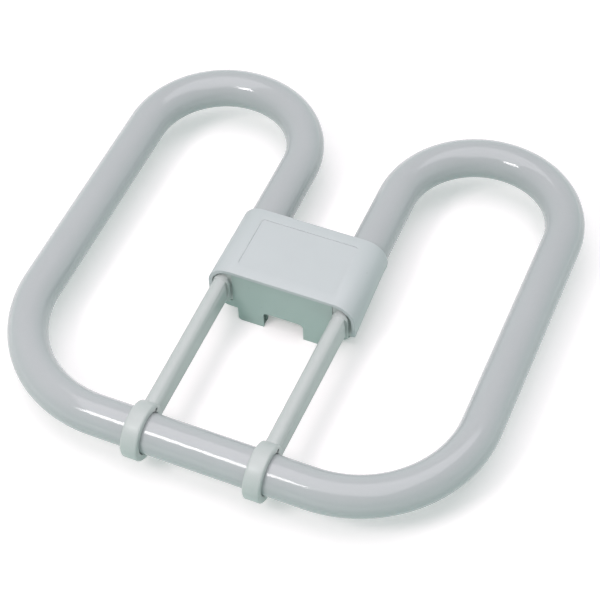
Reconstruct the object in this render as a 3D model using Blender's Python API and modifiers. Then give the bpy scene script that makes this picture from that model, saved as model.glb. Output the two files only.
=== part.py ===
"""Square compact fluorescent lamp: one bent glass tube, a moulded base and two clipped support arms.

The lamp lies flat on the four guard feet of its base. X runs along the straight front run of the tube,
Y runs from that run towards the two U-bends and Z is up. The origin is the middle of the lamp's
outline, on the plane that the feet stand on. Every size is in metres.
"""
import math

import bmesh
import bpy
from mathutils import Matrix, Vector

# Fit between touching pieces
CLEARANCE = 0.0003

# Glass tube, sizes of its centreline unless they say otherwise
OVERALL_WIDTH = 0.2050
TUBE_DIAMETER = 0.0164
RUN_TO_CROWN = 0.1827
LEG_SIDE_ROOM = 0.00135
CORNER_RADIUS = 0.0497
TUBE_END_BEHIND_PINS = 0.00435
TUBE_END_DOME = 0.0045
TUBE_END_RATIO = 0.45
ARC_STEP = math.radians(7.5)

# Base as a whole
CROWN_TO_BASE = 0.0708
BASE_WIDTH = 0.0640
BASE_DEPTH = 0.0359
FOOT_LENGTH = 0.0074

# Top cover of the base
COVER_OVER_TUBE = 0.0022
COVER_WALL = 0.0016
COVER_BACK_WALL = 0.0020
SHOULDER_RADIUS = 0.0095
SKIRT_FRONT_DROP = 0.0065
SKIRT_BACK_DROP = 0.0005
RIM_ROUND = 0.0005
LABEL_FROM_SIDE = 0.0110
LABEL_WIDTH = 0.0255
LABEL_DEPTH = 0.0003
LABEL_FROM_FRONT = 0.0055
LABEL_CORNER = 0.0012
POST_DIAMETER = 0.0030
POST_SIDE_ROOM = 0.00305
POST_FROM_BACK = 0.0054
POST_ENGAGEMENT = 0.0045

# Lower body of the base
BODY_UNDER_TUBE = 0.0042
BODY_WALL = 0.0016
BODY_CORNER = 0.0070
FRONT_WALL = 0.0018
FRONT_RECESS = 0.0008
BAY_FROM_ARM = 0.0039
SOCKET_DEPTH = 0.0017
BOSS_WALL = 0.0012
BOSS_HEIGHT = 0.0078

# Troughs that carry the tube's legs along the sides of the body
TROUGH_WALL = 0.0010
TROUGH_PAST_TUBE = 0.0018

# Guard feet
FOOT_GAP = 0.0176
FOOT_FROM_BAY = 0.0018
FOOT_DEPTH = 0.0048
FOOT_WALL = 0.0009
FOOT_CORNER = 0.0016
GAP_CORNER = 0.0020
REAR_FOOT_INSET = 0.0016

# Bays that hold the roots of the arms
BAY_SILL_DROP = 0.0085
BAY_DEPTH = 0.0135
BAY_GUIDE_WALL = 0.0014
BAY_GUIDE_HEIGHT = 0.0120

# Support arms and their tube clips
ARM_FROM_BASE_SIDE = 0.0062
ARM_TURN_IN = 0.0006
ARM_WIDTH = 0.0066
ARM_TOP_RISE = 0.0064
ARM_ROOT_DROP = 0.0032
ARM_CLIP_DROP = 0.0022
ARM_WALL = 0.0015
ROOT_NECK_LENGTH = 0.0020
ROOT_FLANGE_THICKNESS = 0.0014
ROOT_FLANGE_DROP = 0.0065
ROOT_FLANGE_PROUD = 0.0002
ROOT_GROOVE_LENGTH = 0.0016
ROOT_GROOVE_DEPTH = 0.0009
TONGUE_WIDTH = 0.0072
TONGUE_RECESS = 0.0009
LUG_WIDTH = 0.0030
LUG_LENGTH = 0.0022
CLIP_THICKNESS = 0.0030
CLIP_WIDTH = 0.0070
CLIP_ROUND = 0.0009
CLIP_INNER_ROUND = 0.0003
CLIP_START = math.radians(-24)
CLIP_END = math.radians(268)
CLIP_LIP = 0.0011
CLIP_POCKET_RADIUS = 0.0012
CLIP_POCKET_ANGLE = math.radians(38)

# Contact pins
PIN_SPACING = 0.0080
PIN_DIAMETER = 0.0025
PIN_LENGTH = 0.0076
PIN_HEAD_DIAMETER = 0.0044
PIN_HEAD_HEIGHT = 0.0008
PIN_CUP_HEIGHT = 0.0020
PIN_COLLAR_DIAMETER = 0.0038
PIN_COLLAR_HEIGHT = 0.0005

# Starter bulb and capacitor
STARTER_DIAMETER = 0.0092
STARTER_LENGTH = 0.0200
STARTER_NECK = 0.0030
STARTER_FROM_FRONT = 0.0084
STARTER_LIFT = 0.0011
SADDLE_SPACING = 0.0100
SADDLE_THICKNESS = 0.0014
CAPACITOR_LENGTH = 0.0110
CAPACITOR_HEIGHT = 0.0086
CAPACITOR_ROUND = 0.0007
KERB_HEIGHT = 0.0020
KERB_THICKNESS = 0.0009

# Wires, crimps and cement
SLEEVE_DIAMETER = 0.0015
WIRE_DIAMETER = 0.0008
TUBE_WIRE_SPACING = 0.0034
CAPACITOR_WIRE_SPACING = 0.0050
CRIMP_DIAMETER = 0.0032
CRIMP_LENGTH = 0.0050
CRIMP_FROM_LEG = 0.00995
CRIMP_RISE = 0.0030
CRIMP_BEHIND_PINS = 0.0012
CEMENT_THICKNESS = 0.0014
CEMENT_LENGTH = 0.0060
CEMENT_SPREAD = math.radians(72)
CEMENT_FROM_BACK = 0.0032

# Derived places
TUBE_R = TUBE_DIAMETER / 2
TUBE_BORE_R = TUBE_R + CLEARANCE
CLIP_OUTER_R = TUBE_BORE_R + CLIP_THICKNESS
OVERALL_DEPTH = CLIP_OUTER_R + RUN_TO_CROWN + TUBE_R
TUBE_Z = FOOT_LENGTH + BODY_UNDER_TUBE + TUBE_R
SIDE_X = OVERALL_WIDTH / 2 - TUBE_R
LEG_X = BASE_WIDTH / 2 - LEG_SIDE_ROOM - TUBE_R
BEND_RADIUS = (SIDE_X - LEG_X) / 2
RUN_Y = CLIP_OUTER_R - OVERALL_DEPTH / 2
CROWN_Y = RUN_Y + RUN_TO_CROWN
BASE_BACK_Y = CROWN_Y - CROWN_TO_BASE
BASE_FRONT_Y = BASE_BACK_Y - BASE_DEPTH

COVER_TOP_Z = TUBE_Z + TUBE_R + COVER_OVER_TUBE
COVER_CEILING_Z = COVER_TOP_Z - COVER_WALL
COVER_HALF = BASE_WIDTH / 2
SKIRT_FRONT_Z = TUBE_Z - SKIRT_FRONT_DROP
SKIRT_BACK_Z = TUBE_Z - SKIRT_BACK_DROP

BODY_HALF = COVER_HALF - COVER_WALL - CLEARANCE
BODY_BOTTOM_Z = FOOT_LENGTH
BODY_TOP_Z = SKIRT_BACK_Z - CLEARANCE
BODY_FLOOR_Z = BODY_BOTTOM_Z + BODY_WALL
BODY_FRONT_Y = BASE_FRONT_Y + FRONT_RECESS
BODY_BACK_WALL_Y = BASE_BACK_Y - COVER_BACK_WALL
FRONT_WALL_IN_Y = BODY_FRONT_Y + FRONT_WALL
SOCKET_Z = BODY_BOTTOM_Z + SOCKET_DEPTH
PLATE_TOP_Z = SOCKET_Z + BODY_WALL
PLATE_HALF = FOOT_GAP / 2 + BODY_WALL
FOOT_IN_X = FOOT_GAP / 2
REAR_FOOT_BACK_Y = BASE_BACK_Y - REAR_FOOT_INSET
SOCKET_Y = (BODY_FRONT_Y + REAR_FOOT_BACK_Y) / 2
TUBE_END_Y = SOCKET_Y + TUBE_END_BEHIND_PINS

ARM_ROOT_X = COVER_HALF - ARM_FROM_BASE_SIDE
ARM_CLIP_X = ARM_ROOT_X - ARM_TURN_IN
BAY_IN_X = ARM_ROOT_X - BAY_FROM_ARM
FOOT_OUT_X = BAY_IN_X - FOOT_FROM_BAY
BAY_SILL_Z = TUBE_Z - BAY_SILL_DROP
BAY_BACK_Y = BODY_FRONT_Y + BAY_DEPTH
TONGUE_FRONT_Y = BODY_FRONT_Y + TONGUE_RECESS
TONGUE_BACK_Y = BAY_BACK_Y - CLEARANCE
TONGUE_BOTTOM_Z = BAY_SILL_Z + CLEARANCE

STARTER_Y = BODY_FRONT_Y + STARTER_FROM_FRONT
STARTER_Z = PLATE_TOP_Z + STARTER_LIFT + STARTER_DIAMETER / 2
CAPACITOR_Z = PLATE_TOP_Z + CLEARANCE + CAPACITOR_HEIGHT / 2
PIN_X = PIN_SPACING / 2
PIN_HEAD_Z = PLATE_TOP_Z + CLEARANCE
PIN_TOP_Z = PIN_HEAD_Z + PIN_HEAD_HEIGHT + PIN_CUP_HEIGHT
CRIMP_X = LEG_X - CRIMP_FROM_LEG
CRIMP_Z = TUBE_Z + CRIMP_RISE
CRIMP_BACK_Y = SOCKET_Y + CRIMP_BEHIND_PINS
CRIMP_FRONT_Y = CRIMP_BACK_Y - CRIMP_LENGTH
POST_X = LEG_X - TUBE_R - POST_SIDE_ROOM
POST_Y = BASE_BACK_Y - POST_FROM_BACK
BOSS_R = POST_DIAMETER / 2 + CLEARANCE + BOSS_WALL
BOSS_TOP_Z = PLATE_TOP_Z + BOSS_HEIGHT
KERB_FRONT_Y = SOCKET_Y + PIN_HEAD_DIAMETER / 2 + CLEARANCE
KERB_REAR_Y = POST_Y - BOSS_R - CLEARANCE
CAPACITOR_Y = (KERB_FRONT_Y + KERB_REAR_Y) / 2
CAPACITOR_WIDTH = KERB_REAR_Y - KERB_FRONT_Y - 2 * (KERB_THICKNESS + CLEARANCE)
CEMENT_IN_R = TUBE_R + CLEARANCE
CEMENT_OUT_R = CEMENT_IN_R + CEMENT_THICKNESS
CEMENT_BACK_Y = BODY_BACK_WALL_Y - CEMENT_FROM_BACK
CEMENT_FRONT_Y = CEMENT_BACK_Y - CEMENT_LENGTH

# A cutter runs this far past the face that it opens
PAST = 0.0010


def clear_scene():
    """Remove whatever the file holds, so that the lamp is the only thing in it."""
    for thing in list(bpy.data.objects):
        bpy.data.objects.remove(thing, do_unlink=True)


def new_collection(name):
    """A collection in the scene."""
    made = bpy.data.collections.new(name)
    bpy.context.scene.collection.children.link(made)
    return made


def new_material(name, colour, roughness, metallic=0.0):
    """A plain Principled material."""
    made = bpy.data.materials.new(name)
    made.use_nodes = True
    shader = made.node_tree.nodes["Principled BSDF"]
    shader.inputs["Base Color"].default_value = (*colour, 1.0)
    shader.inputs["Roughness"].default_value = roughness
    shader.inputs["Metallic"].default_value = metallic
    made.diffuse_color = (*colour, 1.0)
    return made


def add_object(name, mesh, collection, matrix=None):
    """An object that holds the mesh."""
    made = bpy.data.objects.new(name, mesh)
    collection.objects.link(made)
    if matrix is not None:
        made.matrix_world = matrix
    return made


def curve_to_mesh(name, curve_object, collection):
    """The curve's filled and bevelled form as a closed mesh object; the curve is removed."""
    bpy.context.view_layer.update()
    evaluated = curve_object.evaluated_get(bpy.context.evaluated_depsgraph_get())
    mesh = bpy.data.meshes.new_from_object(evaluated)
    welded = bmesh.new()
    welded.from_mesh(mesh)
    bmesh.ops.remove_doubles(welded, verts=welded.verts, dist=1e-6)
    bmesh.ops.recalc_face_normals(welded, faces=welded.faces)
    welded.to_mesh(mesh)
    welded.free()
    matrix = curve_object.matrix_world.copy()
    bpy.data.objects.remove(curve_object, do_unlink=True)
    return add_object(name, mesh, collection, matrix)


PLANES = {
    "XZ": Matrix.Rotation(math.pi / 2, 4, "X"),
    "YZ": Matrix.Rotation(math.pi / 2, 4, "Z") @ Matrix.Rotation(math.pi / 2, 4, "X"),
    "XY": Matrix.Identity(4),
}
PLANE_NORMALS = {"XZ": Vector((0, 1, 0)), "YZ": Vector((1, 0, 0)), "XY": Vector((0, 0, 1))}


def prism(name, outline, plane, low, high, collection):
    """A flat outline, in the plane's two axes, made solid from low to high along the third axis."""
    curve = bpy.data.curves.new(name, "CURVE")
    curve.dimensions = "2D"
    curve.fill_mode = "BOTH"
    curve.extrude = (high - low) / 2
    spline = curve.splines.new("POLY")
    spline.points.add(len(outline) - 1)
    for point, (across, up) in zip(spline.points, outline):
        point.co = (across, up, 0, 1)
    spline.use_cyclic_u = True
    made = bpy.data.objects.new(name, curve)
    collection.objects.link(made)
    middle = PLANE_NORMALS[plane] * ((low + high) / 2)
    made.matrix_world = Matrix.Translation(middle) @ PLANES[plane]
    return curve_to_mesh(name, made, collection)


def box(name, x_span, y_span, z_span, collection):
    """An upright box between the two ends of each span."""
    shape = bmesh.new()
    bmesh.ops.create_cube(shape, size=1)
    size = [abs(span[1] - span[0]) for span in (x_span, y_span, z_span)]
    centre = [(span[0] + span[1]) / 2 for span in (x_span, y_span, z_span)]
    bmesh.ops.scale(shape, vec=size, verts=shape.verts)
    bmesh.ops.translate(shape, vec=centre, verts=shape.verts)
    mesh = bpy.data.meshes.new(name)
    shape.to_mesh(mesh)
    shape.free()
    return add_object(name, mesh, collection)


AXIS_TURNS = {
    "X": Matrix.Rotation(math.pi / 2, 4, "Y"),
    "Y": Matrix.Rotation(math.pi / 2, 4, "X"),
    "Z": Matrix.Identity(4),
}


def cylinder(name, axis, radius, length, centre, collection, sides=32):
    """A closed cylinder along an axis, about its centre."""
    shape = bmesh.new()
    bmesh.ops.create_cone(shape, cap_ends=True, segments=sides, radius1=radius, radius2=radius, depth=length)
    bmesh.ops.transform(shape, matrix=Matrix.Translation(centre) @ AXIS_TURNS[axis], verts=shape.verts)
    mesh = bpy.data.meshes.new(name)
    shape.to_mesh(mesh)
    shape.free()
    return add_object(name, mesh, collection)


def loft(name, sections, collection):
    """A solid through rings of points that have the same count, capped at both ends."""
    shape = bmesh.new()
    rings = [[shape.verts.new(point) for point in section] for section in sections]
    count = len(rings[0])
    for near, far in zip(rings, rings[1:]):
        for k in range(count):
            shape.faces.new((near[k], near[(k + 1) % count], far[(k + 1) % count], far[k]))
    shape.faces.new(list(reversed(rings[0])))
    shape.faces.new(rings[-1])
    bmesh.ops.recalc_face_normals(shape, faces=shape.faces)
    mesh = bpy.data.meshes.new(name)
    shape.to_mesh(mesh)
    shape.free()
    return add_object(name, mesh, collection)


def boolean(target, tool, operation):
    """A live Boolean of the target with a hidden tool object."""
    tool.hide_render = True
    tool.display_type = "WIRE"
    modifier = target.modifiers.new(f"{operation} {tool.name}", "BOOLEAN")
    modifier.object = tool
    modifier.operation = operation
    modifier.solver = "EXACT"


def cut(target, *tools):
    """Take the tools away from the target."""
    for tool in tools:
        boolean(target, tool, "DIFFERENCE")


def join(target, *tools):
    """Add the tools to the target."""
    for tool in tools:
        boolean(target, tool, "UNION")


def round_edges(target, width, segments=2):
    """Round the sharp edges of a form before anything is cut from it."""
    bevel = target.modifiers.new("Round", "BEVEL")
    bevel.width = width
    bevel.segments = segments
    bevel.limit_method = "ANGLE"
    bevel.angle_limit = math.radians(40)


def finish(target, material):
    """Settle a piece's modifiers, then give it its material and smooth shading with sharp edges."""
    bpy.context.view_layer.update()
    evaluated = target.evaluated_get(bpy.context.evaluated_depsgraph_get())
    mesh = bpy.data.meshes.new_from_object(evaluated)
    mesh.name = target.name
    target.modifiers.clear()
    target.data = mesh
    mesh.materials.clear()
    mesh.materials.append(material)
    mesh.shade_smooth()
    mesh.set_sharp_from_angle(angle=math.radians(32))


def arc(centre, radius, start, end, steps):
    """Points on an arc in its own plane, both ends included."""
    return [
        (
            centre[0] + radius * math.cos(start + (end - start) * k / steps),
            centre[1] + radius * math.sin(start + (end - start) * k / steps),
        )
        for k in range(steps + 1)
    ]


def swept_wire(name, points, diameter, collection):
    """A round wire through its points, closed at both ends."""
    curve = bpy.data.curves.new(name, "CURVE")
    curve.dimensions = "3D"
    curve.bevel_depth = diameter / 2
    curve.bevel_resolution = 2
    curve.use_fill_caps = True
    spline = curve.splines.new("POLY")
    spline.points.add(len(points) - 1)
    for point, place in zip(spline.points, points):
        point.co = (*place, 1)
    made = bpy.data.objects.new(name, curve)
    collection.objects.link(made)
    return curve_to_mesh(name, made, collection)


def eased_route(corners, steps=4):
    """Points on a smooth curve through hand-chosen corners, the way a stiff wire bends."""
    route = []
    last = len(corners) - 1
    for k in range(last):
        before = Vector(corners[max(k - 1, 0)])
        here = Vector(corners[k])
        there = Vector(corners[k + 1])
        after = Vector(corners[min(k + 2, last)])
        for step in range(steps):
            t = step / steps
            route.append(
                0.5
                * (
                    2 * here
                    + (there - before) * t
                    + (2 * before - 5 * here + 4 * there - after) * t**2
                    + (3 * here - before - 3 * there + after) * t**3
                )
            )
    route.append(Vector(corners[last]))
    return route


def tube_centreline():
    """Half of the tube, from the middle of the front run to the end of the right leg."""
    corner_steps = round((math.pi / 2) / ARC_STEP)
    bend_steps = round(math.pi / ARC_STEP)
    bend_x = (SIDE_X + LEG_X) / 2
    bend_y = CROWN_Y - BEND_RADIUS
    corner_centre = (SIDE_X - CORNER_RADIUS, RUN_Y + CORNER_RADIUS)
    corner = arc(corner_centre, CORNER_RADIUS, -math.pi / 2, 0, corner_steps)
    bend = arc((bend_x, bend_y), BEND_RADIUS, 0, math.pi, bend_steps)
    dome_start = (LEG_X, TUBE_END_Y + TUBE_END_DOME)
    return corner + bend + [dome_start]


def discharge_tube(parts, glass):
    """The glass tube: one sweep whose radius closes in to a blunt dome at each end."""
    half = [(x, y, 1.0) for x, y in tube_centreline()]
    dome_steps = 5
    for k in range(1, dome_steps + 1):
        along = k / dome_steps
        thin = math.sqrt(max(0.0, 1 - along**2))
        ratio = TUBE_END_RATIO + (1 - TUBE_END_RATIO) * thin
        half.append((LEG_X, TUBE_END_Y + TUBE_END_DOME * (1 - along), ratio))
    whole = [(-x, y, ratio) for x, y, ratio in reversed(half)] + half
    curve = bpy.data.curves.new("discharge_tube", "CURVE")
    curve.dimensions = "3D"
    curve.bevel_depth = TUBE_R
    curve.bevel_resolution = 10
    curve.use_fill_caps = True
    spline = curve.splines.new("POLY")
    spline.points.add(len(whole) - 1)
    for point, (x, y, ratio) in zip(spline.points, whole):
        point.co = (x, y, TUBE_Z, 1)
        point.radius = ratio
    swept = bpy.data.objects.new("discharge_tube", curve)
    parts.objects.link(swept)
    finish(curve_to_mesh("discharge_tube", swept, parts), glass)


def cover_outline(inset, bottom_z):
    """The cover's section across the lamp: flat top, round shoulders and straight sides."""
    radius = SHOULDER_RADIUS - inset
    shoulder_x = COVER_HALF - SHOULDER_RADIUS
    shoulder_z = COVER_TOP_Z - SHOULDER_RADIUS
    right = arc((shoulder_x, shoulder_z), radius, 0, math.pi / 2, 9)
    left = arc((-shoulder_x, shoulder_z), radius, math.pi / 2, math.pi, 9)
    half = COVER_HALF - inset
    return [(half, bottom_z)] + right + left + [(-half, bottom_z)]


def leg_bores(name, radius, y_span, tools):
    """The two round channels that the tube's legs lie in."""
    length = y_span[1] - y_span[0]
    middle = (y_span[0] + y_span[1]) / 2
    return [
        cylinder(f"{name} {side}", "Y", radius, length, (x, middle, TUBE_Z), tools, 40)
        for side, x in (("left", -LEG_X), ("right", LEG_X))
    ]


def rounded_rectangle(half_x, y_span, radius):
    """An outline with four equal round corners, centred on X = 0."""
    low, high = y_span
    return (
        arc((half_x - radius, low + radius), radius, -math.pi / 2, 0, 3)
        + arc((half_x - radius, high - radius), radius, 0, math.pi / 2, 3)
        + arc((-half_x + radius, high - radius), radius, math.pi / 2, math.pi, 3)
        + arc((-half_x + radius, low + radius), radius, math.pi, 3 * math.pi / 2, 3)
    )


def skirt_edge(drop):
    """The line of the cover's lower side edge, in Y and Z, lowered by a drop."""
    slope = (SKIRT_BACK_Z - SKIRT_FRONT_Z) / (BODY_BACK_WALL_Y - BASE_FRONT_Y)
    return [
        (BASE_BACK_Y + PAST, SKIRT_BACK_Z - drop),
        (BODY_BACK_WALL_Y, SKIRT_BACK_Z - drop),
        (BASE_FRONT_Y - PAST, SKIRT_FRONT_Z - slope * PAST - drop),
    ]


def base_cover(parts, tools, plastic):
    """The top shell: open at the front and below, with a back wall that closes over the tube's legs."""
    cover = prism("base_cover", cover_outline(0, SKIRT_FRONT_Z), "XZ", BASE_FRONT_Y, BASE_BACK_Y, parts)
    round_edges(cover, RIM_ROUND)
    hollow_front = BASE_FRONT_Y - PAST
    hollow = prism(
        "cover hollow",
        cover_outline(COVER_WALL, SKIRT_FRONT_Z - PAST),
        "XZ",
        hollow_front,
        BODY_BACK_WALL_Y,
        tools,
    )
    below = SKIRT_FRONT_Z - 4 * PAST
    skirt_line = [(BASE_FRONT_Y - PAST, below), (BASE_BACK_Y + PAST, below)] + skirt_edge(0)
    skirt = prism("cover skirt line", skirt_line, "YZ", -COVER_HALF - PAST, COVER_HALF + PAST, tools)
    bores = leg_bores("cover leg bore", TUBE_BORE_R, (TUBE_END_Y - PAST, BASE_BACK_Y + PAST), tools)
    label_front = BASE_FRONT_Y + LABEL_FROM_FRONT
    label_span = (label_front, label_front + LABEL_WIDTH)
    label_outline = rounded_rectangle(COVER_HALF - LABEL_FROM_SIDE, label_span, LABEL_CORNER)
    label_z = COVER_TOP_Z - LABEL_DEPTH
    label = prism("cover label recess", label_outline, "XY", label_z, COVER_TOP_Z + PAST, tools)
    cut(cover, hollow, skirt, *bores, label)
    post_bottom = BOSS_TOP_Z - POST_ENGAGEMENT
    post_top = COVER_CEILING_Z + COVER_WALL / 2
    for side, x in (("left", -POST_X), ("right", POST_X)):
        centre = (x, POST_Y, (post_bottom + post_top) / 2)
        post_height = post_top - post_bottom
        join(cover, cylinder(f"cover post {side}", "Z", POST_DIAMETER / 2, post_height, centre, tools, 16))
    finish(cover, plastic)


def body_outline(inset):
    """The lower body's section: upright sides and round lower corners."""
    radius = BODY_CORNER - inset
    corner_x = BODY_HALF - BODY_CORNER
    corner_z = BODY_BOTTOM_Z + BODY_CORNER
    left = arc((-corner_x, corner_z), radius, math.pi, 3 * math.pi / 2, 7)
    right = arc((corner_x, corner_z), radius, 3 * math.pi / 2, 2 * math.pi, 7)
    top = BODY_TOP_Z + (PAST if inset else 0)
    half = BODY_HALF - inset
    return [(-half, top)] + left + right + [(half, top)]


def body_floor_at(x):
    """Height of the body's inner surface at a distance from its middle, round lower corner included."""
    past_flat = x - (BODY_HALF - BODY_CORNER)
    if past_flat <= 0:
        return BODY_FLOOR_Z
    inner = BODY_CORNER - BODY_WALL
    return BODY_BOTTOM_Z + BODY_CORNER - math.sqrt(max(inner**2 - past_flat**2, 0.0))


def foot_outline(side):
    """One guard foot as seen from the front, with its round lower corners."""
    bottom = BODY_BOTTOM_Z - FOOT_LENGTH
    top = BODY_BOTTOM_Z + BODY_WALL / 2
    outer = arc((FOOT_OUT_X - FOOT_CORNER, bottom + FOOT_CORNER), FOOT_CORNER, -math.pi / 2, 0, 4)
    points = [(FOOT_IN_X, bottom)] + outer + [(FOOT_OUT_X, top), (FOOT_IN_X, top)]
    return [(side * x, z) for x, z in points]


def socket_outline():
    """The socket space between the feet: a shallow channel whose sides round into the feet."""
    below = BODY_BOTTOM_Z - FOOT_LENGTH - PAST
    left = arc((-FOOT_IN_X + GAP_CORNER, SOCKET_Z - GAP_CORNER), GAP_CORNER, math.pi, math.pi / 2, 4)
    right = arc((FOOT_IN_X - GAP_CORNER, SOCKET_Z - GAP_CORNER), GAP_CORNER, math.pi / 2, 0, 4)
    return [(-FOOT_IN_X, below)] + left + right + [(FOOT_IN_X, below)]


def body_feet(body, tools):
    """Four feet round the socket, each a thin-walled box open below and towards the pins."""
    rows = (
        ("front", BODY_FRONT_Y, BODY_FRONT_Y + FOOT_DEPTH),
        ("rear", REAR_FOOT_BACK_Y - FOOT_DEPTH, REAR_FOOT_BACK_Y),
    )
    bottom = BODY_BOTTOM_Z - FOOT_LENGTH
    for row, near, far in rows:
        for side_name, side in (("left", -1), ("right", 1)):
            join(body, prism(f"foot {row} {side_name}", foot_outline(side), "XZ", near, far, tools))
    cut(body, prism("socket space", socket_outline(), "XZ", BODY_FRONT_Y - PAST, BASE_BACK_Y + PAST, tools))
    for row, near, far in rows:
        for side_name, side in (("left", -1), ("right", 1)):
            x_span = sorted((side * (FOOT_IN_X - PAST), side * (FOOT_OUT_X - FOOT_WALL)))
            y_span = (near + FOOT_WALL, far - FOOT_WALL)
            z_span = (bottom - PAST, BODY_BOTTOM_Z - FOOT_WALL / 2)
            cut(body, box(f"latch slot {row} {side_name}", x_span, y_span, z_span, tools))


def body_bays(body, tools):
    """The bays for the arms' tongues, each with a sill in front and a guide wall inside."""
    for side_name, side in (("left", -1), ("right", 1)):
        wall_span = sorted((side * (BAY_IN_X - BAY_GUIDE_WALL), side * BAY_IN_X))
        guide_top = BODY_FLOOR_Z + BAY_GUIDE_HEIGHT
        guide_front = BODY_FRONT_Y + FRONT_WALL / 2
        join(
            body,
            box(
                f"bay guide {side_name}",
                wall_span,
                (guide_front, BAY_BACK_Y),
                (BODY_BOTTOM_Z + BODY_WALL / 2, guide_top),
                tools,
            ),
        )
        bay_span = sorted((side * BAY_IN_X, side * (COVER_HALF + PAST)))
        bay = box(
            f"bay {side_name}",
            bay_span,
            (BODY_FRONT_Y - PAST, BAY_BACK_Y),
            (BAY_SILL_Z, COVER_TOP_Z),
            tools,
        )
        cut(body, bay)


def leg_troughs(body, tools):
    """Round walls under the tube's legs, which swell out of the body's sides up to the cover's edge."""
    outer_r = TUBE_BORE_R + TROUGH_WALL
    inner_x = BODY_HALF - BODY_WALL / 2
    start = -math.acos(max(-1.0, min(1.0, (inner_x - LEG_X) / outer_r)))
    y_span = (TUBE_END_Y - TROUGH_PAST_TUBE, BASE_BACK_Y)
    relief_line = skirt_edge(CLEARANCE)
    relief_line += [(BASE_FRONT_Y - PAST, COVER_TOP_Z), (BASE_BACK_Y + PAST, COVER_TOP_Z)]
    for side_name, side in (("left", -1), ("right", 1)):
        swell = arc((LEG_X, TUBE_Z), outer_r, start, 0, 7) + [(inner_x, TUBE_Z)]
        outline = [(side * x, z) for x, z in swell]
        trough = prism(f"leg trough {side_name}", outline, "XZ", *y_span, tools)
        relief_span = sorted((side * (inner_x - PAST), side * (COVER_HALF + PAST)))
        cut(trough, prism(f"leg trough relief {side_name}", relief_line, "YZ", *relief_span, tools))
        join(body, trough)


def cement_block_outline(side):
    """The block under a tube leg, which follows the round lower corner of the body."""
    inset = BODY_WALL / 2
    corner_x = BODY_HALF - BODY_CORNER
    corner_z = BODY_BOTTOM_Z + BODY_CORNER
    corner = arc((corner_x, corner_z), BODY_CORNER - inset, -math.pi / 2, 0, 7)
    inner_x = LEG_X - CEMENT_OUT_R - CLEARANCE
    top = TUBE_Z - CEMENT_OUT_R * math.cos(CEMENT_SPREAD / 2)
    points = [(inner_x, BODY_BOTTOM_Z + inset)] + corner + [(BODY_HALF - inset, top), (inner_x, top)]
    return [(side * x, z) for x, z in points]


def cement_outline(side, room, half_spread):
    """The cement under a tube leg: part of a ring, with some room round it where it is a seat."""
    centre = (side * LEG_X, TUBE_Z)
    start = -math.pi / 2 - half_spread
    end = -math.pi / 2 + half_spread
    outer = arc(centre, CEMENT_OUT_R + room, start, end, 10)
    return outer + arc(centre, CEMENT_IN_R - room, end, start, 10)


def body_cradles(body, tools):
    """What carries the inner pieces: starter saddles, capacitor kerbs, cement blocks and bosses."""
    seat_r = STARTER_DIAMETER / 2 + CLEARANCE
    under = PLATE_TOP_Z - BODY_WALL / 2
    for side_name, side in (("left", -1), ("right", 1)):
        middle = side * SADDLE_SPACING / 2
        x_span = (middle - SADDLE_THICKNESS / 2, middle + SADDLE_THICKNESS / 2)
        y_span = (STARTER_Y - seat_r, STARTER_Y + seat_r)
        join(body, box(f"starter saddle {side_name}", x_span, y_span, (under, STARTER_Z), tools))
    seat_length = STARTER_LENGTH + STARTER_NECK
    seat = cylinder("starter seat", "X", seat_r, seat_length, (0, STARTER_Y, STARTER_Z), tools, 32)
    cut(body, seat)
    kerb_half = CAPACITOR_LENGTH / 2
    for row, side in (("front", -1), ("rear", 1)):
        near = CAPACITOR_Y + side * (CAPACITOR_WIDTH / 2 + CLEARANCE)
        y_span = sorted((near, near + side * KERB_THICKNESS))
        z_span = (under, PLATE_TOP_Z + KERB_HEIGHT)
        join(body, box(f"capacitor kerb {row}", (-kerb_half, kerb_half), y_span, z_span, tools))
    for side_name, side in (("left", -1), ("right", 1)):
        y_span = (CEMENT_FRONT_Y, BODY_BACK_WALL_Y + PAST / 2)
        join(body, prism(f"cement block {side_name}", cement_block_outline(side), "XZ", *y_span, tools))
        centre = (side * POST_X, POST_Y, (under + BOSS_TOP_Z) / 2)
        join(body, cylinder(f"boss {side_name}", "Z", BOSS_R, BOSS_TOP_Z - under, centre, tools, 20))
        hole_bottom = BOSS_TOP_Z - POST_ENGAGEMENT - CLEARANCE
        hole_centre = (side * POST_X, POST_Y, (hole_bottom + BOSS_TOP_Z + PAST) / 2)
        hole_r = POST_DIAMETER / 2 + CLEARANCE
        hole_depth = BOSS_TOP_Z + PAST - hole_bottom
        cut(body, cylinder(f"boss hole {side_name}", "Z", hole_r, hole_depth, hole_centre, tools, 16))
    for side_name, side in (("left", -1), ("right", 1)):
        seat_outline = cement_outline(side, CLEARANCE, CEMENT_SPREAD / 2 + CLEARANCE / CEMENT_IN_R)
        seat_span = (CEMENT_FRONT_Y - PAST, CEMENT_BACK_Y + CLEARANCE)
        cut(body, prism(f"cement seat {side_name}", seat_outline, "XZ", *seat_span, tools))
    bore_span = (TUBE_END_Y - 2 * TROUGH_PAST_TUBE, BASE_BACK_Y + PAST)
    cut(body, *leg_bores("body leg bore", TUBE_BORE_R, bore_span, tools))


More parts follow.
